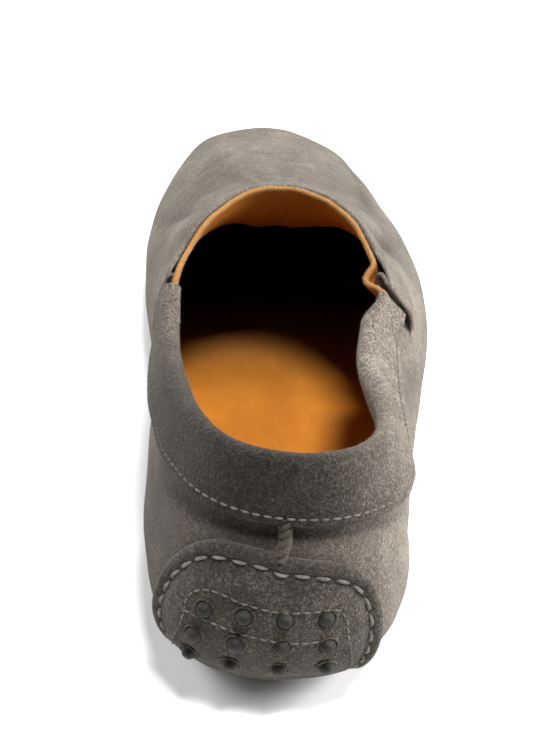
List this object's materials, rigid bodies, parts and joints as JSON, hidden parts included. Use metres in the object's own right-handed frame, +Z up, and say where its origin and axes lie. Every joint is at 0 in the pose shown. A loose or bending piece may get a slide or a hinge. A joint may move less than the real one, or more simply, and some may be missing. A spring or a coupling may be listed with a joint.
{
  "type": "moccasin loafer",
  "caption": "Soft slip-on driving moccasin for the right foot: hollow suede upper with a folded collar band, sewn heel patch, thin sole and rubber studs on the heel and under the foot.",
  "frame": {"origin": "On the floor under the middle of the shoe's bounding box.", "axes": "+Z up, +Y from heel to toe, +X to the outer side of the foot."},
  "size_m": [0.0962, 0.2898, 0.078],
  "materials": {
    "suede": "brushed suede, matt",
    "suede_band": "brushed suede, matt",
    "suede_sole": "brushed suede, matt",
    "tan_leather": "smooth lining leather, low sheen",
    "rubber": "moulded, satin"
  },
  "bodies": {
    "root": {"back_tab": "suede", "collar_band": "suede_band", "heel_patch": "suede", "insole": "tan_leather", "sole": "suede_sole", "stud_back_a_1": "rubber", "stud_back_a_2": "rubber", "stud_back_a_3": "rubber", "stud_back_a_4": "rubber", "stud_back_b_1": "rubber", "stud_back_b_2": "rubber", "stud_back_b_3": "rubber", "stud_back_b_4": "rubber", "stud_back_c_1": "rubber", "stud_back_c_2": "rubber", "stud_back_c_3": "rubber", "stud_back_c_4": "rubber", "stud_fore_a_1": "rubber", "stud_fore_a_2": "rubber", "stud_fore_a_3": "rubber", "stud_fore_a_4": "rubber", "stud_fore_b_1": "rubber", "stud_fore_b_2": "rubber", "stud_fore_b_3": "rubber", "stud_fore_b_4": "rubber", "stud_fore_b_5": "rubber", "stud_fore_c_1": "rubber", "stud_fore_c_2": "rubber", "stud_fore_c_3": "rubber", "stud_fore_c_4": "rubber", "stud_fore_c_5": "rubber", "stud_fore_d_1": "rubber", "stud_fore_d_2": "rubber", "stud_fore_d_3": "rubber", "stud_fore_d_4": "rubber", "stud_fore_d_5": "rubber", "stud_fore_e_1": "rubber", "stud_fore_e_2": "rubber", "stud_fore_e_3": "rubber", "stud_fore_e_4": "rubber", "stud_heel_a_1": "rubber", "stud_heel_a_2": "rubber", "stud_heel_a_3": "rubber", "stud_heel_a_4": "rubber", "stud_heel_b_1": "rubber", "stud_heel_b_2": "rubber", "stud_heel_b_3": "rubber", "stud_heel_b_4": "rubber", "stud_heel_c_1": "rubber", "stud_heel_c_2": "rubber", "stud_heel_c_3": "rubber", "stud_heel_c_4": "rubber", "stud_heel_d_1": "rubber", "stud_heel_d_2": "rubber", "stud_heel_d_3": "rubber", "upper": "suede"}
  },
  "joints": []
}
